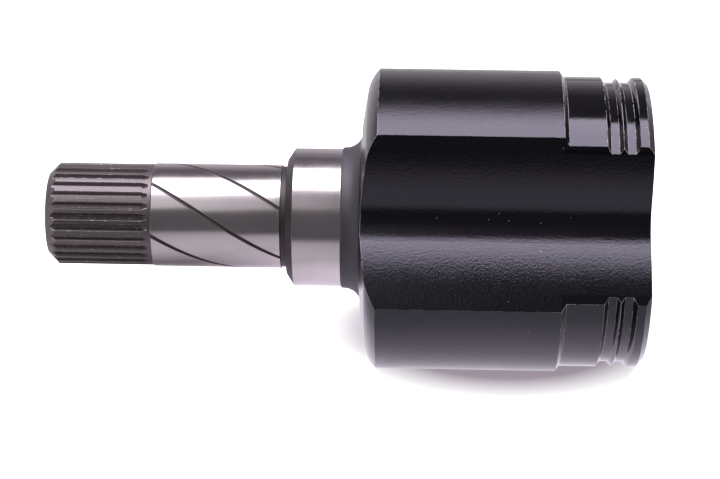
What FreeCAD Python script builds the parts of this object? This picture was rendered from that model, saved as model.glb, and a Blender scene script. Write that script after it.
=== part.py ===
"""Plunging tripod CV joint: a forged housing with its stub shaft, and the tripod with its roller cassettes.

Millimetres. The origin is the joint centre on the shaft axis, +X runs out of the housing's mouth and
+Z runs up along the first trunnion. Every size that can be set by itself is a cell of the sheet.
"""

import FreeCAD, Part
import Sketcher
import math
import os

SHEET = "Sizes"
SIZES = (
    # stub shaft, from its tip to the tulip
    ("spline_relief", 0.3, "spline's outside below the bearing, so that a bush slides over it"),
    ("spline_length", 31.4, "tip to the end of the tooth run-out"),
    ("spline_teeth", 29, "number of teeth"),
    ("spline_depth", 1.15, "depth of a tooth space"),
    ("spline_runout", 2.0, "length over which a tooth space rises to the surface"),
    ("tip_chamfer", 3.0, "45 degree chamfer on the stub's tip"),
    ("collar_length", 1.1, "plain ring between the spline and the bearing"),
    ("bearing_radius", 15.875, "ground bearing section"),
    ("bearing_length", 38.9, "ground bearing section"),
    ("bearing_lead", 0.3, "slope up to the bearing section's front"),
    ("oil_groove_count", 6, "number of helical oil grooves"),
    ("oil_groove_lead", 160.0, "advance of an oil groove in one turn"),
    ("oil_groove_width", 1.2, "width of an oil groove at the surface"),
    ("oil_groove_depth", 0.28, "depth of an oil groove"),
    ("undercut_width", 1.8, "grinding undercut against the journal"),
    ("undercut_depth", 0.4, "grinding undercut against the journal"),
    ("undercut_slope", 0.2, "side of the undercut, along the axis"),
    ("journal_step", 5.275, "seal journal over the bearing section"),
    ("journal_length", 16.6, "journal with its chamfer"),
    ("journal_chamfer_length", 2.2, "chamfer on the journal's front, along the axis"),
    ("journal_chamfer_height", 3.4, "chamfer on the journal's front, across the axis"),
    ("neck_step", 0.5, "forged neck over the journal"),
    ("neck_slope", 0.4, "slope up to the neck, along the axis"),
    ("neck_length", 6.2, "journal to the tulip's back face"),
    ("neck_fillet", 5.2, "fillet from the neck to the back face"),
    # tulip, outside
    ("tulip_length", 85.6, "back face to mouth"),
    ("lobe_wall", 8.2, "metal over a track at the lobe's crest"),
    ("lobe_side_wall", 3.4, "metal beside a track at the lobe's corners"),
    ("back_face_flat", 3.15, "flat ring on the back face, outside the neck's fillet"),
    ("back_crown_rise", 1.5, "first, flatter part of the rounded back, along the axis"),
    ("back_crown_length", 4.9, "whole rounded back, along the axis"),
    ("back_crown_drop", 6.0, "steeper part of the rounded back, across the axis"),
    ("back_crown_round", 13.2, "radius of the steeper part of the rounded back"),
    ("scallop_bottom_wall", 6.0, "metal between a scallop's bottom and the bore"),
    ("scallop_radius", 11.0, "hollow bottom of a scallop"),
    ("flank_radius", 60.0, "gently rounded lobe side"),
    ("land_drop", 1.7, "boot land below the lobe radius"),
    ("land_length", 11.1, "boot land"),
    ("land_slope", 1.3, "shoulder down to the boot land"),
    ("groove_depth", 1.6, "boot grooves below the boot land"),
    ("groove_floor", 2.4, "flat bottom of each boot groove"),
    ("groove_slope", 1.2, "side of a boot groove, along the axis"),
    ("ridge_drop", 0.4, "ridge between the boot grooves, below the boot land"),
    ("lip_length", 2.5, "flat lip at the mouth"),
    ("mouth_chamfer", 1.7, "chamfer round the mouth, outside"),
    # tulip, inside
    ("floor_wall", 12.0, "metal behind the cavity's floor"),
    ("centre_depth", 29.3, "mouth to the joint centre"),
    ("nose_half_width", 5.6, "half the width of the noses between the tracks"),
    ("nose_fillet", 1.6, "rounding of the noses between the tracks"),
    ("mouth_lead_in", 1.8, "chamfer on the noses at the mouth"),
    ("floor_dish_radius", 13.0, "dish in the cavity's floor"),
    ("floor_dish_depth", 1.5, "dish in the cavity's floor"),
    ("track_clearance", 0.15, "roller's crown to the track's side"),
    ("track_end_clearance", 0.3, "roller's face to the track's shoulder"),
    ("track_ceiling_gap", 2.05, "roller's face to the track's ceiling"),
    # roller cassette
    ("trunnion_circle", 29.0, "joint centre to each roller's centre"),
    ("roller_radius", 17.0, "outside of the roller ring"),
    ("roller_crown", 40.0, "radius of the roller's crowned tread"),
    ("roller_width", 13.5, "roller ring"),
    ("roller_wall", 3.5, "roller ring's tread to its needle race"),
    ("roller_edge", 0.7, "chamfer on the roller's edges"),
    ("roller_lip", 0.35, "metal outside the snap ring's groove"),
    ("needle_radius", 1.45, "needles"),
    ("needle_gap", 0.2, "least gap between needles, round the circle"),
    ("needle_end_gap", 0.1, "needles to each disc"),
    ("bearing_clearance", 0.05, "needles to each of their races"),
    ("inner_ring_wall", 1.55, "needles' inner race to the trunnion's bore"),
    ("inner_ring_end_gap", 0.3, "inner ring to each disc"),
    ("inner_ring_edge", 0.35, "chamfer on the inner ring's edges"),
    ("disc_bore_step", 0.75, "discs' bore over the inner ring's bore"),
    ("disc_seat_depth", 0.8, "step from the race up to the disc's seat"),
    ("disc_thickness", 0.7, "retaining discs"),
    ("disc_clearance", 0.05, "disc to its seat's wall"),
    ("snap_ring_thickness", 0.6, "snap rings"),
    ("snap_ring_width", 1.6, "snap rings, across"),
    ("snap_ring_seat", 0.55, "depth of the groove that a snap ring sits in"),
    ("snap_ring_clearance", 0.05, "snap ring to each side of its groove"),
    ("snap_ring_gap", 4.0, "split in a snap ring"),
    # spider
    ("trunnion_clearance", 0.15, "trunnion ball to the inner ring's bore"),
    ("trunnion_top_drop", 0.35, "trunnion's flat top below the roller's face"),
    ("trunnion_neck_step", 2.3, "neck under the trunnion ball, in from the ball"),
    ("trunnion_flare", 2.5, "neck's spread where it meets the hub"),
    ("hub_roller_gap", 4.75, "spider's hub to the roller's inner face"),
    ("hub_length", 22.0, "spider's hub"),
    ("hub_chamfer", 1.2, "spider's hub"),
    ("hub_wall", 4.9, "hub's outside to the tooth roots of its splined hole"),
    ("hole_chamfer", 1.4, "lead-in at the inner end of the splined hole"),
    ("pilot_step", 0.3, "plain pilot over the driveshaft's spline"),
    ("pilot_length", 4.0, "plain pilot at the hub's outer end"),
    ("shaft_teeth", 26, "driveshaft spline"),
    ("shaft_tooth_depth", 1.0, "driveshaft spline"),
)


class Size:
    """A length: its value now, and the formula that ties it to the sheet."""

    def __init__(self, value, formula):
        self.value = value
        self.formula = formula

    def __add__(self, other):
        other = as_size(other)
        return Size(self.value + other.value, f"({self.formula} + {other.formula})")

    def __sub__(self, other):
        other = as_size(other)
        return Size(self.value - other.value, f"({self.formula} - {other.formula})")

    def __mul__(self, other):
        other = as_size(other)
        return Size(self.value * other.value, f"({self.formula} * {other.formula})")

    def __truediv__(self, other):
        other = as_size(other)
        return Size(self.value / other.value, f"({self.formula} / {other.formula})")

    def __radd__(self, other):
        return as_size(other) + self

    def __rsub__(self, other):
        return as_size(other) - self

    def __neg__(self):
        return Size(-self.value, f"(-{self.formula})")

    def root(self):
        return Size(math.sqrt(self.value), f"sqrt({self.formula})")

    def whole(self):
        return Size(math.floor(self.value), f"floor({self.formula})")


def as_size(value):
    return value if isinstance(value, Size) else Size(float(value), repr(float(value)))


def leg(long_side, short_side):
    """The other short side of a right-angled triangle."""
    return (long_side * long_side - short_side * short_side).root()


class Arc:
    """Joins two corners of an outline; turn is 1 to the left and -1 to the right."""

    def __init__(self, radius, turn):
        self.radius = as_size(radius)
        self.turn = turn


doc = FreeCAD.newDocument("cv_joint")
sheet = doc.addObject("Spreadsheet::Sheet", SHEET)
size = {}
for row, (alias, value, note) in enumerate(SIZES, start=1):
    sheet.set(f"A{row}", alias)
    sheet.set(f"B{row}", str(value))
    sheet.set(f"C{row}", note)
    sheet.setAlias(f"B{row}", alias)
    size[alias] = Size(float(value), f"{SHEET}.{alias}")
doc.recompute()


# ---------------------------------------------------------------- drawing helpers
def new_body(label):
    body = doc.addObject("PartDesign::Body", label)
    body.Label = label
    body.AllowCompound = True
    return body


def origin_item(body, role):
    return next(item for item in body.Origin.OriginFeatures if item.Role == role)


def new_sketch(body, name, plane, lift=None):
    """A sketch on one of the body's origin planes, raised along the plane's normal by lift."""
    sketch = body.newObject("Sketcher::SketchObject", name)
    sketch.AttachmentSupport = [(origin_item(body, plane), "")]
    sketch.MapMode = "FlatFace"
    if lift is not None:
        sketch.setExpression("AttachmentOffset.Base.z", lift.formula)
    return sketch


def datum(sketch, kind, where, length):
    index = sketch.addConstraint(Sketcher.Constraint(kind, *where, length.value))
    sketch.setExpression(f"Constraints[{index}]", length.formula)


def pin_point(sketch, geometry, end, corner):
    """Ties a point of the sketch to its two coordinates."""
    datum(sketch, "DistanceX", (-1, 1, geometry, end), corner[0])
    datum(sketch, "DistanceY", (-1, 1, geometry, end), corner[1])


def arc_between(start, end, arc):
    """The arc as Part draws it, counter-clockwise, with the number of its end where the walk starts."""
    a = FreeCAD.Vector(start[0].value, start[1].value, 0)
    b = FreeCAD.Vector(end[0].value, end[1].value, 0)
    half = (b - a) * 0.5
    height = math.sqrt(max(arc.radius.value ** 2 - half.Length ** 2, 0.0))
    across = FreeCAD.Vector(-half.y, half.x, 0).normalize()
    centre = a + half + across * height * arc.turn
    first, last = (a, b) if arc.turn > 0 else (b, a)
    from_angle = math.atan2(first.y - centre.y, first.x - centre.x)
    to_angle = math.atan2(last.y - centre.y, last.x - centre.x)
    circle = Part.Circle(centre, FreeCAD.Vector(0, 0, 1), arc.radius.value)
    return Part.ArcOfCircle(circle, from_angle, to_angle), (1 if arc.turn > 0 else 2)


def outline(body, name, plane, path, lift=None):
    """A closed outline; path holds corners, with an Arc between two of them where the side is round."""
    sketch = new_sketch(body, name, plane, lift)
    corners = [step for step in path if not isinstance(step, Arc)]
    corners = [(as_size(x), as_size(y)) for x, y in corners]
    arcs = {}
    count = 0
    for step in path:
        if isinstance(step, Arc):
            arcs[count - 1] = step
        else:
            count += 1
    starts, ends = [], []
    for index, start in enumerate(corners):
        end = corners[(index + 1) % len(corners)]
        if index in arcs:
            geometry, start_point = arc_between(start, end, arcs[index])
            side = sketch.addGeometry(geometry, False)
        else:
            start_point = 1
            side = sketch.addGeometry(
                Part.LineSegment(
                    FreeCAD.Vector(start[0].value, start[1].value, 0),
                    FreeCAD.Vector(end[0].value, end[1].value, 0),
                ),
                False,
            )
        starts.append((side, start_point))
        ends.append((side, 3 - start_point))
    for index, corner in enumerate(corners):
        sketch.addConstraint(Sketcher.Constraint("Coincident", *ends[index - 1], *starts[index]))
        pin_point(sketch, *starts[index], corner)
    for index, arc in arcs.items():
        datum(sketch, "Radius", (starts[index][0],), arc.radius)
    return sketch


def circle(body, name, plane, radius, lift=None):
    sketch = new_sketch(body, name, plane, lift)
    sketch.addGeometry(
        Part.Circle(FreeCAD.Vector(0, 0, 0), FreeCAD.Vector(0, 0, 1), radius.value), False
    )
    sketch.addConstraint(Sketcher.Constraint("Coincident", 0, 3, -1, 1))
    datum(sketch, "Radius", (0,), radius)
    return sketch


def revolve(body, name, sketch, axis):
    feature = body.newObject("PartDesign::Revolution", name)
    feature.Profile = (sketch, [""])
    feature.ReferenceAxis = (origin_item(body, axis), [""])
    feature.Angle = 360
    doc.recompute()
    return feature


def groove(body, name, sketch, axis):
    before = body.Shape.Volume
    feature = body.newObject("PartDesign::Groove", name)
    feature.Profile = (sketch, [""])
    feature.ReferenceAxis = (origin_item(body, axis), [""])
    feature.Angle = 360
    doc.recompute()
    must_shrink(body, name, before)
    return feature


def pocket(body, name, sketch, length=None, along=False):
    """Cuts a sketch through all, or to a length; along is True for a cut towards the plane's normal."""
    before = body.Shape.Volume
    feature = body.newObject("PartDesign::Pocket", name)
    feature.Profile = (sketch, [""])
    feature.Reversed = along
    if length is None:
        feature.Type = "ThroughAll"
    else:
        feature.Type = "Length"
        feature.setExpression("Length", length.formula)
    doc.recompute()
    must_shrink(body, name, before)
    return feature


def pattern(body, name, features, count, axis="X_Axis"):
    """Repeats features round an axis; count is a number or a cell of the sheet."""
    feature = body.newObject("PartDesign::PolarPattern", name)
    feature.Originals = features
    feature.Axis = (origin_item(body, axis), [""])
    feature.Angle = 360
    if isinstance(count, Size):
        feature.setExpression("Occurrences", count.formula)
    else:
        feature.Occurrences = count
    body.Tip = feature
    doc.recompute()
    return feature


def must_shrink(body, name, before):
    if body.Shape.Volume >= before - 1e-6:
        raise RuntimeError(f"{body.Label}: {name} cut nothing")


# ---------------------------------------------------------------- sizes shared between pieces
half_roller = size["roller_width"] / 2
track_half_height = half_roller + size["track_end_clearance"]
crown_centre = size["roller_radius"] - size["roller_crown"]
track_half_width = size["roller_radius"] + size["track_clearance"]
track_side_radius = size["roller_crown"] + size["track_clearance"]
track_side = crown_centre + leg(track_side_radius, track_half_height)
COS_30 = math.sqrt(0.75)
nose_height = (track_side / 2 + size["nose_half_width"]) / COS_30
bore_radius = (track_side * track_side + nose_height * nose_height).root()
cavity_depth = size["tulip_length"] - size["floor_wall"]
ceiling_radius = size["trunnion_circle"] + half_roller + size["track_ceiling_gap"]
lobe_radius = ceiling_radius + size["lobe_wall"]
land_radius = lobe_radius - size["land_drop"]
groove_radius = land_radius - size["groove_depth"]
ridge_radius = land_radius - size["ridge_drop"]
spline_radius = size["bearing_radius"] - size["spline_relief"]
journal_radius = size["bearing_radius"] + size["journal_step"]
hub_radius = size["trunnion_circle"] - half_roller - size["hub_roller_gap"]
shaft_radius = hub_radius - size["hub_wall"]

# the roller cassette, across its own axis and along it from its middle
race_radius = size["roller_radius"] - size["roller_wall"]
needle_circle = race_radius - size["bearing_clearance"] - size["needle_radius"]
needle_pitch = size["needle_radius"] * 2 + size["needle_gap"]
needle_count = (needle_circle * (2 * math.pi) / needle_pitch).whole()
inner_race_radius = needle_circle - size["needle_radius"] - size["bearing_clearance"]
trunnion_bore = inner_race_radius - size["inner_ring_wall"]
disc_bore = trunnion_bore + size["disc_bore_step"]
seat_radius = race_radius + size["disc_seat_depth"]
snap_radius = seat_radius + size["snap_ring_seat"]
snap_groove_end = half_roller - size["roller_lip"]
snap_end = snap_groove_end - size["snap_ring_clearance"]
snap_start = snap_end - size["snap_ring_thickness"]
snap_groove_start = snap_start - size["snap_ring_clearance"]
race_half = snap_groove_start - size["disc_thickness"]
needle_half = race_half - size["needle_end_gap"]
inner_ring_half = race_half - size["inner_ring_end_gap"]

# stations along the housing, from the stub's tip
spline_end = size["spline_length"]
bearing_start = spline_end + size["collar_length"]
undercut_start = bearing_start + size["bearing_length"]
journal_start = undercut_start + size["undercut_width"]
journal_end = journal_start + size["journal_length"]
back_face = journal_end + size["neck_length"]
mouth = back_face + size["tulip_length"]
centre = mouth - size["centre_depth"]
lip_start = mouth - size["mouth_chamfer"] - size["lip_length"]
groove_2_end = lip_start - size["groove_slope"]
groove_2_start = groove_2_end - size["groove_floor"]
ridge = groove_2_start - size["groove_slope"]
groove_1_end = ridge - size["groove_slope"]
groove_1_start = groove_1_end - size["groove_floor"]
land_end = groove_1_start - size["groove_slope"]
land_start = land_end - size["land_length"]
lobe_end = land_start - size["land_slope"]


# ---------------------------------------------------------------- housing
def housing_profile(body):
    """Half of the lengthwise section: stub shaft, seal journal, neck and the tulip's turned outside."""
    spline = spline_radius
    bearing = size["bearing_radius"]
    journal = journal_radius
    neck = journal + size["neck_step"]
    fillet = size["neck_fillet"]
    chamfer = size["tip_chamfer"]
    undercut = bearing - size["undercut_depth"]
    crown_start = neck + fillet + size["back_face_flat"]
    crown_knee = lobe_radius - size["back_crown_drop"]
    path = [
        (0, 0),
        (0, spline - chamfer),
        (chamfer, spline),
        (bearing_start - size["bearing_lead"], spline),
        (bearing_start, bearing),
        (undercut_start, bearing),
        (undercut_start + size["undercut_slope"], undercut),
        (journal_start, undercut),
        (journal_start, journal - size["journal_chamfer_height"]),
        (journal_start + size["journal_chamfer_length"], journal),
        (journal_end, journal),
        (journal_end + size["neck_slope"], neck),
        (back_face - fillet, neck),
        Arc(fillet, 1),
        (back_face, neck + fillet),
        (back_face, crown_start),
        (back_face + size["back_crown_rise"], crown_knee),
        Arc(size["back_crown_round"], -1),
        (back_face + size["back_crown_length"], lobe_radius),
        (lobe_end, lobe_radius),
        (land_start, land_radius),
        (land_end, land_radius),
        (groove_1_start, groove_radius),
        (groove_1_end, groove_radius),
        (ridge, ridge_radius),
        (groove_2_start, groove_radius),
        (groove_2_end, groove_radius),
        (lip_start, land_radius),
        (mouth - size["mouth_chamfer"], land_radius),
        (mouth, land_radius - size["mouth_chamfer"]),
        (mouth, 0),
    ]
    return outline(body, "lengthwise_section", "XZ_Plane", path)


def meet(first, first_radius, second, second_radius, side):
    """A point at the two given distances from two points, on the left (1) or the right (-1)."""
    gap = math.dist(first, second)
    along = (gap ** 2 + first_radius ** 2 - second_radius ** 2) / (2 * gap)
    across = math.sqrt(first_radius ** 2 - along ** 2) * side
    dx, dy = (second[0] - first[0]) / gap, (second[1] - first[1]) / gap
    return (first[0] + along * dx - across * dy, first[1] + along * dy + across * dx)


def scallop_section(body):
    """One forged scallop, pointing down: a hollow bottom that flows into two rounded lobe sides."""
    sketch = new_sketch(body, "scallop_section", "YZ_Plane")
    bottom = bore_radius + size["scallop_bottom_wall"]
    hollow = size["scallop_radius"]
    flank = size["flank_radius"]
    corner_across = track_half_width + size["lobe_side_wall"]
    corner_up = leg(lobe_radius, corner_across)
    # the lobe's corner, turned by 60 degrees from the lobe's own frame into this one
    corner_y = corner_up * COS_30 - corner_across / 2
    corner_z = -(corner_up / 2 + corner_across * COS_30)
    hollow_centre = -(bottom + hollow)
    corner = (corner_y.value, corner_z.value)
    flank_centre = meet(
        (0.0, hollow_centre.value), hollow.value + flank.value, corner, flank.value, 1
    )
    away = math.atan2(flank_centre[1] - hollow_centre.value, flank_centre[0])
    touch = (hollow.value * math.cos(away), hollow_centre.value + hollow.value * math.sin(away))
    outer = lobe_radius + 6
    up = FreeCAD.Vector(0, 0, 1)

    def point(pair):
        return FreeCAD.Vector(pair[0], pair[1], 0)

    def angle(of, about):
        return math.atan2(of[1] - about[1], of[0] - about[0])

    hollow_circle = Part.Circle(FreeCAD.Vector(0, hollow_centre.value, 0), up, hollow.value)
    sketch.addGeometry(Part.ArcOfCircle(hollow_circle, away, math.pi - away), False)
    sides = []
    for sign in (1, -1):
        middle = (sign * flank_centre[0], flank_centre[1])
        top = (sign * touch[0], touch[1])
        low = (sign * corner[0], corner[1])
        ends = (angle(low, middle), angle(top, middle))
        flank_circle = Part.Circle(point(middle), up, flank.value)
        order = ends if sign < 0 else (ends[1], ends[0])
        sides.append(sketch.addGeometry(Part.ArcOfCircle(flank_circle, *order), False))
        corner_end = 1 if sign < 0 else 2
        touch_end = 3 - corner_end
        wall = sketch.addGeometry(
            Part.LineSegment(point(low), FreeCAD.Vector(low[0], -outer.value, 0)), False
        )
        sketch.addConstraint(
            Sketcher.Constraint("Tangent", sides[-1], touch_end, 0, 1 if sign > 0 else 2)
        )
        sketch.addConstraint(Sketcher.Constraint("Coincident", sides[-1], corner_end, wall, 1))
        sketch.addConstraint(Sketcher.Constraint("Vertical", wall))
        datum(sketch, "Radius", (sides[-1],), flank)
        across = corner_y if sign > 0 else -corner_y
        pin_point(sketch, wall, 1, (across, corner_z))
        datum(sketch, "DistanceY", (-1, 1, wall, 2), -outer)
    lid = sketch.addGeometry(
        Part.LineSegment(point((corner[0], -outer.value)), point((-corner[0], -outer.value))), False
    )
    sketch.addConstraint(Sketcher.Constraint("Coincident", lid, 1, 2, 2))
    sketch.addConstraint(Sketcher.Constraint("Coincident", lid, 2, 4, 2))
    pin_point(sketch, 0, 3, (as_size(0), hollow_centre))
    datum(sketch, "Radius", (0,), hollow)
    return sketch


def track_section(body):
    """One track, pointing up: crowned sides, shoulders over the roller and a relieved ceiling."""
    top = size["trunnion_circle"] + track_half_height
    low = size["trunnion_circle"] - track_half_height
    side_radius = track_side_radius
    side = track_side
    shoulder = leg(ceiling_radius, top)
    path = [
        (-side, 0),
        (side, 0),
        (side, low),
        Arc(side_radius, 1),
        (side, top),
        (shoulder, top),
        Arc(ceiling_radius, 1),
        (-shoulder, top),
        (-side, top),
        Arc(side_radius, 1),
        (-side, low),
    ]
    return outline(body, "track_section", "YZ_Plane", path, lift=mouth)


OIL_GROOVE_START = 0.4  # of the angle between two oil grooves
ROOT_SHARE = 0.28  # half a tooth space at its root, as a share of half the pitch
FLANK_SLOPE = math.tan(math.radians(30))  # splines with a 30 degree pressure angle
CUT_PAST = 0.6  # how far a cut runs on past the surface it opens


def tooth_space(body, name, lift, rise):
    """The gap between two spline teeth, at the top of the shaft."""
    root = spline_radius - size["spline_depth"] + rise
    height = size["spline_depth"] + CUT_PAST
    root_half = spline_radius * (math.pi * ROOT_SHARE) / size["spline_teeth"]
    top_half = root_half + height * FLANK_SLOPE
    top = root + height
    path = [(-root_half, root), (root_half, root), (top_half, top), (-top_half, top)]
    return outline(body, name, "YZ_Plane", path, lift=lift)


def cut_oil_grooves(body):
    """Right-handed helical grooves that carry oil along the bearing section, each cut by itself."""
    depth = size["oil_groove_depth"]
    half_width = size["oil_groove_width"] / 2
    floor = size["bearing_radius"] - depth
    reach = depth * 2
    start = bearing_start + half_width
    path = [
        (start - half_width / 2, floor),
        (start + half_width / 2, floor),
        (start + half_width * 1.5, floor + reach),
        (start - half_width * 1.5, floor + reach),
    ]
    count = int(size["oil_groove_count"].value)
    for number in range(count):
        before = body.Shape.Volume
        sketch = outline(body, f"oil_groove_section_{number + 1}", "XZ_Plane", path)
        turn = FreeCAD.Rotation(FreeCAD.Vector(1, 0, 0), 360 / count * (number + OIL_GROOVE_START))
        sketch.AttachmentOffset = FreeCAD.Placement(FreeCAD.Vector(0, 0, 0), turn)
        cut = body.newObject("PartDesign::SubtractiveHelix", f"oil_groove_{number + 1}")
        cut.Profile = sketch
        cut.ReferenceAxis = (origin_item(body, "X_Axis"), [""])
        cut.Mode = "pitch-height-angle"
        cut.setExpression("Pitch", size["oil_groove_lead"].formula)
        cut.setExpression("Height", size["bearing_length"].formula)
        doc.recompute()
        must_shrink(body, "oil_groove", before)


def round_noses(body):
    """Rounds the six edges where the tracks open into the bore, all the way down the cavity."""
    fillet = size["nose_fillet"]
    middle_across = track_side + fillet
    middle_up = leg(bore_radius + fillet, middle_across)
    share = bore_radius / (bore_radius + fillet)
    cuts = []
    for name, side in (("right", 1), ("left", -1)):
        path = [
            (track_side * side, middle_up),
            ((track_side - fillet) * side, nose_height - fillet),
            (middle_across * share * side, middle_up * share),
            Arc(fillet, -side),
        ]
        sketch = outline(body, f"{name}_nose_section", "YZ_Plane", path, lift=mouth)
        cuts.append(pocket(body, f"{name}_nose", sketch, cavity_depth))
    pattern(body, "noses", cuts, 3)


def make_housing():
    body = new_body("housing")
    revolve(body, "turned_form", housing_profile(body), "X_Axis")
    scallop = pocket(body, "scallop", scallop_section(body), along=True)
    pattern(body, "scallops", [scallop], 3)
    track = pocket(body, "track", track_section(body), cavity_depth)
    pattern(body, "tracks", [track], 3)
    pocket(
        body,
        "bore",
        circle(body, "bore_section", "YZ_Plane", bore_radius, lift=mouth),
        cavity_depth,
    )
    round_noses(body)
    lead = size["mouth_lead_in"]
    section = [
        (mouth, bore_radius - lead),
        (mouth, bore_radius + lead),
        (mouth - lead, bore_radius),
        (mouth - lead, bore_radius - lead),
    ]
    groove(body, "mouth_lead_in", outline(body, "lead_in_section", "XZ_Plane", section), "X_Axis")
    cavity_floor = mouth - cavity_depth
    dish = size["floor_dish_radius"]
    depth = size["floor_dish_depth"]
    groove(
        body,
        "floor_dish",
        outline(
            body,
            "dish_section",
            "XZ_Plane",
            [(cavity_floor + 1, 0), (cavity_floor - depth, 0), (cavity_floor - depth, dish - depth * 2),
             (cavity_floor, dish), (cavity_floor + 1, dish)],
        ),
        "X_Axis",
    )
    full_depth = spline_end - size["spline_runout"]
    straight = pocket(body, "tooth_gap", tooth_space(body, "gap_section", None, as_size(0)),
                      full_depth, along=True)
    before = body.Shape.Volume
    start = tooth_space(body, "runout_start", full_depth, as_size(0))
    finish = tooth_space(body, "runout_end", spline_end, size["spline_depth"] + CUT_PAST / 30)
    runout = body.newObject("PartDesign::SubtractiveLoft", "tooth_runout")
    runout.Profile = start
    runout.Sections = [finish]
    doc.recompute()
    must_shrink(body, "tooth_runout", before)
    pattern(body, "spline", [straight, runout], size["spline_teeth"])
    cut_oil_grooves(body)
    body.setExpression("Placement.Base.x", f"-{centre.formula}")
    return body


# ---------------------------------------------------------------- spider
def make_spider():
    body = new_body("spider")
    hub = hub_radius
    half = size["hub_length"] / 2
    chamfer = size["hub_chamfer"]
    revolve(
        body,
        "hub",
        outline(
            body,
            "hub_section",
            "XZ_Plane",
            [(-half, 0), (-half, hub - chamfer), (chamfer - half, hub), (half - chamfer, hub),
             (half, hub - chamfer), (half, 0)],
        ),
        "X_Axis",
    )
    ball = trunnion_bore - size["trunnion_clearance"]
    neck = ball - size["trunnion_neck_step"]
    middle = size["trunnion_circle"]
    waist = middle - leg(ball, neck)
    half_height = half_roller - size["trunnion_top_drop"]
    top = middle + half_height
    flare = size["trunnion_flare"]
    root = hub / 2 + shaft_radius / 2
    path = [
        (0, root),
        (neck + flare, root),
        (neck + flare, hub),
        Arc(flare, -1),
        (neck, hub + flare),
        (neck, waist),
        Arc(ball, 1),
        (leg(ball, half_height), top),
        (0, top),
    ]
    trunnion = revolve(body, "trunnion", outline(body, "trunnion_section", "XZ_Plane", path), "Z_Axis")
    pattern(body, "trunnions", [trunnion], 3)
    minor = shaft_radius - size["shaft_tooth_depth"]
    pocket(body, "splined_hole", circle(body, "hole_section", "YZ_Plane", minor, lift=half),
           size["hub_length"])
    pilot = shaft_radius + size["pilot_step"]
    pocket(body, "pilot", circle(body, "pilot_section", "YZ_Plane", pilot, lift=half),
           size["pilot_length"])
    lead = size["hole_chamfer"]
    section = [(-half, 0), (lead - half, 0), (lead - half, minor), (-half, minor + lead)]
    groove(body, "lead_in", outline(body, "lead_in_section", "XZ_Plane", section), "X_Axis")
    root_half = shaft_radius * (math.pi * ROOT_SHARE) / size["shaft_teeth"]
    foot_half = root_half + size["shaft_tooth_depth"] * FLANK_SLOPE
    foot = minor - CUT_PAST / 2
    gap = outline(
        body,
        "shaft_gap_section",
        "YZ_Plane",
        [(-foot_half, foot), (foot_half, foot), (root_half, shaft_radius),
         (-root_half, shaft_radius)],
        lift=half,
    )
    tooth_gap = pocket(body, "shaft_tooth_gap", gap, size["hub_length"])
    pattern(body, "shaft_spline", [tooth_gap], size["shaft_teeth"])
    return body


# ---------------------------------------------------------------- roller cassettes
def make_ring(label, path):
    """A turned ring about its own +Z axis."""
    body = new_body(label)
    revolve(body, "turned_form", outline(body, "half_section", "XZ_Plane", path), "Z_Axis")
    return body


def roller_ring_path():
    """Crowned outside; inside, the race, a disc seat on each side and the snap-ring grooves."""
    edge = size["roller_edge"]
    tread_half = half_roller - edge
    tread_edge = crown_centre + leg(size["roller_crown"], tread_half)
    inner_half = [
        (tread_edge - edge, half_roller),
        (seat_radius, half_roller),
        (seat_radius, snap_groove_end),
        (snap_radius, snap_groove_end),
        (snap_radius, snap_groove_start),
        (seat_radius, snap_groove_start),
        (seat_radius, race_half),
        (race_radius, race_half),
    ]
    mirrored = [(across, -along) for across, along in reversed(inner_half)]
    crown = Arc(size["roller_crown"], 1)
    return [(tread_edge, -tread_half), crown, (tread_edge, tread_half)] + inner_half + mirrored


def inner_ring_path():
    """The needles' inner race, with a plain bore and eased edges."""
    half = inner_ring_half
    edge = size["inner_ring_edge"]
    return [
        (trunnion_bore, edge - half),
        (trunnion_bore + edge, -half),
        (inner_race_radius - edge, -half),
        (inner_race_radius, edge - half),
        (inner_race_radius, half - edge),
        (inner_race_radius - edge, half),
        (trunnion_bore + edge, half),
        (trunnion_bore, half - edge),
    ]


def disc_path(side):
    """A flat retaining disc; side is 1 for the outer end of the roller and -1 for the inner end."""
    near = race_half * side
    far = (race_half + size["disc_thickness"]) * side
    outside = seat_radius - size["disc_clearance"]
    return [(disc_bore, near), (outside, near), (outside, far), (disc_bore, far)]


def snap_ring_path(side):
    near = snap_start * side
    far = snap_end * side
    outside = snap_radius - size["disc_clearance"]
    inside = outside - size["snap_ring_width"]
    return [(inside, near), (outside, near), (outside, far), (inside, far)]


def make_snap_ring(label, side):
    """A turned ring, split by a straight gap."""
    body = make_ring(label, snap_ring_path(side))
    reach = snap_radius + 2
    half_gap = size["snap_ring_gap"] / 2
    before = body.Shape.Volume
    gap = outline(body, "gap_section", "XY_Plane",
                  [(0, -half_gap), (reach, -half_gap), (reach, half_gap), (0, half_gap)])
    cut = body.newObject("PartDesign::Pocket", "gap")
    cut.Profile = (gap, [""])
    cut.Type = "ThroughAll"
    cut.Midplane = True
    doc.recompute()
    must_shrink(body, "gap", before)
    return body


def make_needles(label):
    """A full complement of needles between the two races."""
    body = new_body(label)
    radius = size["needle_radius"]
    path = [(0, -needle_half), (radius, -needle_half), (radius, needle_half), (0, needle_half)]
    sketch = outline(body, "needle_section", "XZ_Plane", path)
    sketch.setExpression("AttachmentOffset.Base.x", needle_circle.formula)
    needle = body.newObject("PartDesign::Revolution", "needle")
    needle.Profile = (sketch, [""])
    needle.ReferenceAxis = (sketch, ["V_Axis"])
    needle.Angle = 360
    doc.recompute()
    pattern(body, "ring_of_needles", [needle], needle_count, "Z_Axis")
    return body


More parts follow.
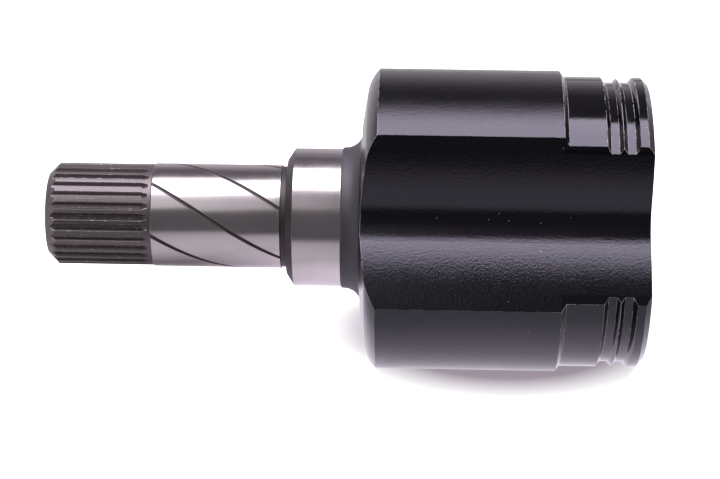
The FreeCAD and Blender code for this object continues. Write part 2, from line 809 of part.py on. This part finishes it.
def place_on_trunnion(body, angle):
    """Turns a cassette's piece from +Z to its own trunnion and moves it out to the roller's centre."""
    body.Placement = FreeCAD.Placement(
        FreeCAD.Vector(0, 0, 0), FreeCAD.Rotation(FreeCAD.Vector(1, 0, 0), angle)
    )
    out = size["trunnion_circle"].formula
    body.setExpression("Placement.Base.y", f"-{out} * sin({angle} deg)")
    body.setExpression("Placement.Base.z", f"{out} * cos({angle} deg)")


def make_cassette(number, angle):
    pieces = [
        make_ring(f"roller_ring_{number}", roller_ring_path()),
        make_needles(f"needles_{number}"),
        make_ring(f"inner_ring_{number}", inner_ring_path()),
        make_ring(f"inner_disc_{number}", disc_path(-1)),
        make_ring(f"outer_disc_{number}", disc_path(1)),
        make_snap_ring(f"inner_snap_ring_{number}", -1),
        make_snap_ring(f"outer_snap_ring_{number}", 1),
    ]
    for piece in pieces:
        place_on_trunnion(piece, angle)
    return pieces


# ---------------------------------------------------------------- build, check, write
parts = [make_housing(), make_spider()]
for number in (1, 2, 3):
    parts += make_cassette(number, 120 * (number - 1))
doc.recompute()

for item in doc.Objects:
    if {"Invalid", "Error"} & set(item.State):
        raise RuntimeError(f"{item.Label} failed: {item.State}")
for part in parts:
    if part.Shape.isNull() or not part.Shape.isValid():
        raise RuntimeError(f"{part.Label} has no valid shape")

os.makedirs("parts", exist_ok=True)
for part in parts:
    part.Shape.exportStep(f"parts/{part.Label}.step")
    print(f"{part.Label}: {len(part.Shape.Solids)} solids, {part.Shape.Volume:.1f} mm3")
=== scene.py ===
"""Plunging tripod CV joint, lying on a white sheet with its stub shaft to the left.

The housing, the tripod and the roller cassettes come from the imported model. Each section below gives
one of them its finish, then the floor, the light and the camera follow. Metres; +X is out of the mouth.
"""

import math

import bpy
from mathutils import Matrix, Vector


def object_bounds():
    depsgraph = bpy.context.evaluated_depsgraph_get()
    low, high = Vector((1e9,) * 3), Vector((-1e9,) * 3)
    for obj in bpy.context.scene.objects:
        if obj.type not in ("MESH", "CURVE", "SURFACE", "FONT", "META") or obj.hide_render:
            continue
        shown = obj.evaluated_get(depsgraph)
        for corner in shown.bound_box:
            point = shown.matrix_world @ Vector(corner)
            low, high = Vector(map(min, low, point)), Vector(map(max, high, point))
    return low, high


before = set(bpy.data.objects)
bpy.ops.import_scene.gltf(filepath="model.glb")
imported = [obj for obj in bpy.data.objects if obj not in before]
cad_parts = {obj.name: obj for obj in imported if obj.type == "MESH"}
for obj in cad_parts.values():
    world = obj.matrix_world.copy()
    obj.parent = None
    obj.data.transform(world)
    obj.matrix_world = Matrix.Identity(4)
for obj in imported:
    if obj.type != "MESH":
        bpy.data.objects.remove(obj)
cad_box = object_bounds()
WHITE = (1, 1, 1, 1)


class Graph:
    """A node tree, with short ways to add to it."""

    def __init__(self, tree):
        self.nodes, self.links = tree.nodes, tree.links

    def node(self, kind, inputs=None, **settings):
        made = self.nodes.new(kind)
        for key, value in settings.items():
            setattr(made, key, value)
        for key, value in (inputs or {}).items():
            self.feed(made.inputs[key], value)
        return made

    def feed(self, socket, value):
        if isinstance(value, bpy.types.NodeSocket):
            self.links.new(value, socket)
        else:
            socket.default_value = value

    def calc(self, operation, *values, clamp=False):
        made = self.node("ShaderNodeMath", operation=operation, use_clamp=clamp)
        for socket, value in zip(made.inputs, values):
            self.feed(socket, value)
        return made.outputs[0]

    def vector(self, operation, *values):
        return self.node("ShaderNodeVectorMath", dict(enumerate(values)), operation=operation).outputs

    def product(self, first, *others):
        for other in others:
            first = self.calc("MULTIPLY", first, other)
        return first

    def flip(self, share):
        """1 where the share is 0, and 0 where it is 1."""
        return self.calc("SUBTRACT", 1.0, share)

    def ranged(self, share, low, high):
        """Low where the share is 0, and high where it is 1."""
        return self.calc("MULTIPLY_ADD", share, high - low, low)

    def above(self, value, edge, width):
        """0 below the edge and 1 above it, over a width."""
        limits = {"Value": value, "From Min": edge - width / 2, "From Max": edge + width / 2}
        return self.node("ShaderNodeMapRange", limits).outputs[0]

    def below(self, value, edge, width):
        return self.flip(self.above(value, edge, width))

    def between(self, value, low, high, width):
        return self.product(self.above(value, low, width), self.below(value, high, width))

    def blend(self, share, first, second):
        made = self.node("ShaderNodeMix", {"Factor": share}, data_type="RGBA")
        self.feed(made.inputs[6], first)
        self.feed(made.inputs[7], second)
        return made.outputs[2]

    def axes(self, vector):
        return self.node("ShaderNodeSeparateXYZ", {0: vector}).outputs


class Finish(Graph):
    """One material: its nodes, and the shader that they feed."""

    def __init__(self, name):
        self.material = bpy.data.materials.new(name)
        self.material.use_nodes = True
        super().__init__(self.material.node_tree)
        self.shader = self.nodes["Principled BSDF"]
        where = self.node("ShaderNodeTexCoord")
        self.place = where.outputs["Object"]
        self.facing = where.outputs["Normal"]

    def stretched(self, x, y, z):
        """The object's own coordinates, scaled along each axis."""
        return self.vector("MULTIPLY", self.place, (x, y, z))[0]

    def grain(self, scale, detail=2.0, vector=None, roughness=0.5):
        inputs = {
            "Vector": vector or self.place,
            "Scale": scale,
            "Detail": detail,
            "Roughness": roughness,
        }
        return self.node("ShaderNodeTexNoise", inputs).outputs["Fac"]

    def around(self):
        """Distance from the shaft axis, and the way straight out from it."""
        flat = self.stretched(0.0, 1.0, 1.0)
        return self.vector("LENGTH", flat)["Value"], self.vector("NORMALIZE", flat)[0]

    def relief(self, height, depth, strength=1.0, over=None):
        """The normal of fine relief, on the true surface or over another normal."""
        inputs = {"Strength": strength, "Distance": depth, "Height": height}
        if over:
            inputs["Normal"] = over
        return self.node("ShaderNodeBump", inputs).outputs[0]

    def paint(self, **sockets):
        """Feeds the shader's sockets; an underscore stands for the space in a name."""
        for name, value in sockets.items():
            self.feed(self.shader.inputs[name.replace("_", " ")], value)

    def dress(self, *nodes):
        for node in nodes:
            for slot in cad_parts[node].material_slots:
                slot.material = self.material


# ---------------------------------------------------------------- housing
# One steel forging: the tulip with its stub shaft. The tulip is dipped in semi-gloss black paint, the
# spline is black-oxided, and the bearing and the seal journal are ground bright. The cavity is bare
# steel under an oil film.
housing = Finish("housing_paint_and_ground_steel")
here = housing.axes(housing.place)
x_here = here["X"]
off_axis, outwards = housing.around()

# Each finish: its colour, then how metallic, rough and grainy it is.
OXIDE = ((0.125, 0.108, 0.113, 1), (0.85, 0.42, 0.10, 1))
GROUND = ((0.43, 0.395, 0.41, 1), (1.0, 0.22, 0.0, 1))
# The colour below is painted shade, not a finish of the steel: the undercut and the oil grooves take it.
PAINTED_SHADE = ((0.060, 0.052, 0.055, 1), (0.7, 0.50, 0.0, 1))
SATIN = ((0.085, 0.079, 0.092, 1), (0.7, 0.60, 0.05, 1))
PAINT = ((0.0015, 0.0014, 0.0020, 1), (0.0, 0.155, 1.0, 1))
BARE = ((0.22, 0.20, 0.19, 1), (0.9, 0.38, 0.25, 1))

# Where each section of the shaft starts, and the width over which one finish gives way to the next.
SPLINE_END = -0.1199
UNDERCUT = -0.0809
JOURNAL = -0.0769
NECK = -0.0625
BACK_FACE = -0.0568
SHARP = 0.0001
STATIONS = (
    (SPLINE_END + SHARP / 2, GROUND),
    # The undercut and its chamfer, a recess between the bearing and the journal, are coloured dark as
    # painted shade.
    (UNDERCUT, PAINTED_SHADE),
    (JOURNAL, GROUND),
    (NECK, SATIN),
    (BACK_FACE, PAINT),
)
colour, make_up = OXIDE
for start, (zone_colour, zone_make_up) in STATIONS:
    past = housing.above(x_here, start, SHARP)
    colour = housing.blend(past, colour, zone_colour)
    make_up = housing.blend(past, make_up, zone_make_up)

# The oil grooves and a thin rim beside them are coloured dark, a painted shade wider than the cut:
# right-handed helices.
# The phase and the share are parts of the angle from one groove to the next.
GROOVES, GROOVE_LEAD, GROOVE_PHASE, GROOVE_SHARE, GROOVE_BLUR = 6, 0.160, 0.370, 0.042, 0.016
angle = housing.calc("ARCTAN2", here["Z"], here["Y"])
turned_by = housing.calc("MULTIPLY", angle, GROOVES / math.tau)
wound = housing.calc("MULTIPLY_ADD", x_here, -GROOVES / GROOVE_LEAD, 0.5 - GROOVE_PHASE)
aside = housing.calc("SUBTRACT", housing.calc("FRACT", housing.calc("ADD", turned_by, wound)), 0.5)
by_groove = housing.below(housing.calc("ABSOLUTE", aside), GROOVE_SHARE, GROOVE_BLUR)
in_bearing = housing.between(x_here, SPLINE_END, UNDERCUT, SHARP)
groove = housing.product(in_bearing, by_groove)
colour = housing.blend(groove, colour, PAINTED_SHADE[0])
make_up = housing.blend(groove, make_up, PAINTED_SHADE[1])

# The cavity: walls that face the axis, and the floor, which faces the mouth from deep inside.
CAVITY_FLOOR, HALF_DEEP = -0.0465, -0.02
tilt = housing.vector("DOT_PRODUCT", housing.facing, outwards)["Value"]
faces_mouth = housing.above(housing.axes(housing.facing)["X"], 0.5, 0.02)
faces_axis = housing.below(tilt, -0.08, 0.02)
floor_side = housing.below(x_here, HALF_DEEP, 0.001)
inside = housing.calc("MAXIMUM", faces_axis, housing.product(faces_mouth, floor_side))
inside = housing.product(inside, housing.above(x_here, CAVITY_FLOOR, 0.0004))
colour = housing.blend(inside, colour, BARE[0])
make_up = housing.blend(inside, make_up, BARE[1])
parts_of = housing.node("ShaderNodeSeparateColor", {0: make_up}).outputs
metallic, rough, forged = parts_of["Red"], parts_of["Green"], parts_of["Blue"]
painted = housing.product(housing.above(x_here, BACK_FACE, SHARP), housing.flip(inside))

# Turned surfaces of the tulip, round the mouth, are smoother than the forged ones.
LAND_START, LAND_RADIUS, LAND_BLUR = 0.0032, 0.0424, 0.0004
turned = housing.product(
    housing.above(off_axis, LAND_RADIUS, LAND_BLUR),
    housing.above(x_here, LAND_START, LAND_BLUR),
)
forged = housing.product(forged, housing.flip(housing.calc("MULTIPLY", turned, 0.85)))
rough = housing.calc("SUBTRACT", rough, housing.product(turned, painted, 0.07))

# Worn edges: where the rounded normal leaves the true one. The lobes' long edges are worn less, and the
# spline is nicked here and there.
EDGE_RADIUS, EDGE_AGREES = 0.00022, 0.955
LOBE_START, LOBE_END = -0.0500, 0.0010
rounded = housing.node("ShaderNodeBevel", {"Radius": EDGE_RADIUS}, samples=6).outputs[0]
true_normal = housing.node("ShaderNodeNewGeometry").outputs["Normal"]
agree = housing.vector("DOT_PRODUCT", rounded, true_normal)["Value"]
edge = housing.below(agree, EDGE_AGREES, 0.04)
scuffed = housing.above(housing.grain(260.0, 3.0), 0.47, 0.10)
handled = housing.ranged(housing.between(x_here, LOBE_START, LOBE_END, 0.0030), 0.95, 0.30)
nicked = housing.above(housing.grain(900.0, 2.0), 0.60, 0.06)
worn = housing.calc(
    "MAXIMUM",
    housing.product(edge, scuffed, painted, handled),
    housing.product(edge, nicked, housing.below(x_here, SPLINE_END, SHARP)),
)

# Specks of dust on the paint: one cell in seven has a dot at its seed.
SPECK_RADIUS, DUSTY_ABOVE = 0.055, 0.86
cells = housing.node("ShaderNodeTexVoronoi", {"Vector": housing.place, "Scale": 330.0}).outputs
near_seed = housing.calc("LESS_THAN", cells["Distance"], SPECK_RADIUS)
cell_draw = housing.node("ShaderNodeSeparateColor", {0: cells["Color"]}).outputs["Red"]
dusty = housing.calc("GREATER_THAN", cell_draw, DUSTY_ABOVE)
specks = housing.product(near_seed, dusty, painted)

# Uneven tone and gloss everywhere, and grinding lines that run round the steel.
WORN_STEEL, DUST = (0.60, 0.58, 0.60, 1), (0.45, 0.43, 0.45, 1)
mottle = housing.grain(90.0, 4.0)
colour = housing.vector("MULTIPLY", colour, housing.ranged(mottle, 0.85, 1.15))[0]
colour = housing.blend(worn, colour, WORN_STEEL)
colour = housing.blend(housing.calc("MULTIPLY", specks, 0.5), colour, DUST)
grinding = housing.grain(1.0, 3.0, housing.stretched(5200.0, 60.0, 60.0), 0.6)
rough = housing.calc("ADD", rough, housing.ranged(grinding, -0.05, 0.05))
rough = housing.calc("ADD", rough, housing.ranged(mottle, -0.04, 0.04))

# Orange peel and forging grain stand on the paint, and the grinding lines on the steel.
GRAIN_DEPTH = 0.000095
COOL = (0.86, 0.82, 1.0, 1)
peel = housing.grain(1500.0, 3.0, roughness=0.65)
swell = housing.grain(170.0, 2.0)
height = housing.product(housing.calc("ADD", peel, housing.calc("MULTIPLY", swell, 0.35)), forged)
height = housing.calc("ADD", height, housing.calc("MULTIPLY", grinding, 0.01))
housing.paint(
    Specular_Tint=housing.blend(painted, WHITE, COOL),
    Base_Color=colour,
    Metallic=metallic,
    Roughness=rough,
    Normal=housing.relief(height, GRAIN_DEPTH, over=rounded),
)
housing.dress("housing")


# ---------------------------------------------------------------- spider
# The tripod that sits on the driveshaft: a forged and hardened hub with three trunnions. The forging
# stays dark grey, and the ball ends and the splined hole are ground or broached bright.
BALL_START, HOLE_RADIUS = 0.0225, 0.0131
FORGED, MACHINED = (0.10, 0.094, 0.092, 1), (0.50, 0.48, 0.47, 1)
spider = Finish("spider_steel")
reach, _ = spider.around()
ball_end = spider.above(reach, BALL_START, 0.0003)
hole = spider.below(reach, HOLE_RADIUS, 0.0002)
scale_marks = spider.grain(420.0, 4.0)
spider.paint(
    Base_Color=spider.blend(spider.calc("MAXIMUM", ball_end, hole), FORGED, MACHINED),
    Roughness=spider.ranged(scale_marks, 0.22, 0.47),
    Metallic=1.0,
    Normal=spider.relief(scale_marks, 0.00004, 0.5),
)
spider.dress("spider")


# ---------------------------------------------------------------- roller cassettes
# Three bearings on the trunnions: crowned rollers of ground bearing steel, needles, inner rings, and the
# stamped discs and phosphated snap rings that hold each one together.
def bearing_steel(name, tint, roughness, line_scale, line_depth):
    """Ground or stamped steel with fine marks, a little uneven in colour and gloss."""
    steel = Finish(name)
    lines = steel.grain(line_scale, 3.0, roughness=0.6)
    smears = steel.grain(140.0, 3.0)
    smeared = [0.82 * part for part in tint]
    steel.paint(
        Base_Color=steel.blend(smears, (*tint, 1), (*smeared, 1)),
        Roughness=steel.ranged(lines, roughness - 0.06, roughness + 0.06),
        Metallic=1.0,
        Normal=steel.relief(lines, line_depth, 0.4),
    )
    return steel


roller_steel = bearing_steel("roller_steel", (0.58, 0.56, 0.55), 0.20, 1400.0, 0.000004)
needle_steel = bearing_steel("needle_steel", (0.64, 0.63, 0.63), 0.15, 2000.0, 0.000002)
disc_steel = bearing_steel("disc_steel", (0.40, 0.39, 0.38), 0.34, 1100.0, 0.000010)
spring_steel = bearing_steel("snap_ring_phosphate", (0.07, 0.07, 0.072), 0.50, 1800.0, 0.000010)
for number in (1, 2, 3):
    roller_steel.dress(f"roller_ring_{number}", f"inner_ring_{number}")
    needle_steel.dress(f"needles_{number}")
    disc_steel.dress(f"inner_disc_{number}", f"outer_disc_{number}")
    spring_steel.dress(f"inner_snap_ring_{number}", f"outer_snap_ring_{number}")


# ---------------------------------------------------------------- floor
# A wide white sheet under the joint. Its reflections in the part are painted: reflection rays see it
# glow brighter than white under the tulip, white far to each side, dim elsewhere, and dark in front as
# painted shade.
FLOOR_HALF = 4
floor_level = cad_box[0].z - 0.00005
floor_mesh = bpy.data.meshes.new("floor")
corners = ((-1, -1), (1, -1), (1, 1), (-1, 1))
points = [(x * FLOOR_HALF, y * FLOOR_HALF, floor_level) for x, y in corners]
floor_mesh.from_pydata(points, [], [(0, 1, 2, 3)])
floor = bpy.data.objects.new("floor", floor_mesh)
bpy.context.scene.collection.objects.link(floor)

DARK_FRONT, FAR_ASIDE, CLOSE_BY = -0.29, 0.50, 0.10
sheet = Finish("white_sheet")
across = sheet.axes(sheet.place)
# Places on the sheet that set its painted reflection, and the painted shade in front.
in_front = sheet.below(across["Y"], DARK_FRONT, 0.08)
far_aside = sheet.above(sheet.calc("ABSOLUTE", across["X"]), FAR_ASIDE, 0.50)
close_by = sheet.below(sheet.calc("ABSOLUTE", across["Y"]), CLOSE_BY, 0.05)
ray = sheet.node("ShaderNodeLightPath").outputs
shown = sheet.calc("MAXIMUM", ray["Is Camera Ray"], ray["Is Transmission Ray"])

# The joint's shadow shows only close under the tulip, where the camera sees a dim lavender glow that
# tints it; away from it the sheet glows white for the camera, a painted light that hides the shadow.
footprint = {
    "Vector": sheet.place,
    "Location": (-0.0120, -0.004, floor_level),
    "Scale": (0.047, 0.031, 1.0),
}
from_tulip = sheet.node("ShaderNodeMapping", footprint, vector_type="TEXTURE").outputs[0]
spread = sheet.vector("LENGTH", from_tulip)["Value"]
own_glow = sheet.blend(sheet.above(spread, 1.0, 0.34), (0.30, 0.25, 0.30, 1), WHITE)

# Painted reflection and shade: the glow that reflections see, and the light it scatters, dark in front.
painted_reflection_colour = sheet.blend(close_by, (0.12, 0.11, 0.12, 1), (0.20, 0.18, 0.20, 1))
painted_reflection_colour = sheet.blend(sheet.above(spread, 1.7, 0.8), (1.15, 1.06, 1.22, 1), painted_reflection_colour)
painted_reflection_colour = sheet.blend(far_aside, painted_reflection_colour, WHITE)
painted_reflection_strength = sheet.product(ray["Is Glossy Ray"], sheet.flip(in_front))
scatter_colour_dark_in_front = sheet.blend(in_front, (0.40, 0.40, 0.40, 1), (0.05, 0.05, 0.05, 1))
sheet.paint(
    Base_Color=sheet.blend(shown, scatter_colour_dark_in_front, (0.70, 0.66, 0.70, 1)),
    Emission_Color=sheet.blend(shown, painted_reflection_colour, own_glow),
    Emission_Strength=sheet.calc("MAXIMUM", shown, painted_reflection_strength),
    Roughness=0.9,
)
floor_mesh.materials.append(sheet.material)


# ---------------------------------------------------------------- light
# A long softbox overhead, a little behind the joint, and a dim card in front of it above the stub.
LIGHT_HEIGHT = 0.80


def area_light(name, long, deep, watts_per_area, x, y, tint=(1, 1, 1)):
    """A rectangle of light that hangs flat over the floor."""
    light = bpy.data.lights.new(name, "AREA")
    light.shape = "RECTANGLE"
    light.size = long
    light.size_y = deep
    light.energy = watts_per_area * long * deep
    light.color = tint
    hung = bpy.data.objects.new(name, light)
    hung.location = (x, y, LIGHT_HEIGHT)
    bpy.context.scene.collection.objects.link(hung)


area_light("softbox", 1.5, 0.58, 21.6, x=-0.04, y=0.125, tint=(0.98, 0.94, 1.0))
area_light("card", 0.58, 0.66, 3.4, x=-0.42, y=-0.505)

# The room is dim in front and above, with pale walls low down behind and beside the joint, and white
# where the camera sees it.
world = bpy.data.worlds.new("room")
world.use_nodes = True
room = Graph(world.node_tree)
way = room.axes(room.node("ShaderNodeTexCoord").outputs["Generated"])
sideways = room.calc("ABSOLUTE", way["X"], clamp=True)
sideways = room.calc("MULTIPLY", sideways, 1.2, clamp=True)
wall = room.calc("MULTIPLY_ADD", way["Y"], 2.0, sideways, clamp=True)
low = room.calc("MULTIPLY_ADD", way["Z"], -2.0, 1.05, clamp=True)
DIM, PALE = (0.17, 0.158, 0.17, 1), (0.80, 0.75, 0.82, 1)
around_joint = room.blend(room.product(wall, low), DIM, PALE)
seen = room.node("ShaderNodeLightPath").outputs["Is Camera Ray"]
room.feed(room.nodes["Background"].inputs["Color"], room.blend(seen, around_joint, WHITE))
bpy.context.scene.world = world
bpy.context.scene.view_settings.view_transform = "Standard"


# ---------------------------------------------------------------- camera
# A long lens that looks down at about 32 degrees. It stands level with the back of the tulip and turns
# a little towards the stub. Its aim is below the shaft, so the joint sits high in the view.
ELEVATION = math.radians(31.8)
DISTANCE = 0.690
TOWARDS_STUB, BELOW_SHAFT = 0.0181, 0.0067
foot = Vector((-0.0388, 0.0, 0.0))
towards_camera = Vector((0.0, -math.cos(ELEVATION), math.sin(ELEVATION)))
up_in_view = Vector((0.0, math.sin(ELEVATION), math.cos(ELEVATION)))
aim = foot - Vector((TOWARDS_STUB, 0.0, 0.0)) - up_in_view * BELOW_SHAFT
lens = bpy.data.cameras.new("camera")
lens.sensor_width = 36.0
lens.lens = 112.2
lens.clip_end = 20.0
camera = bpy.data.objects.new("camera", lens)
camera.location = foot + towards_camera * DISTANCE
camera.rotation_euler = (aim - camera.location).to_track_quat("-Z", "Y").to_euler()
bpy.context.scene.collection.objects.link(camera)
bpy.context.scene.camera = camera
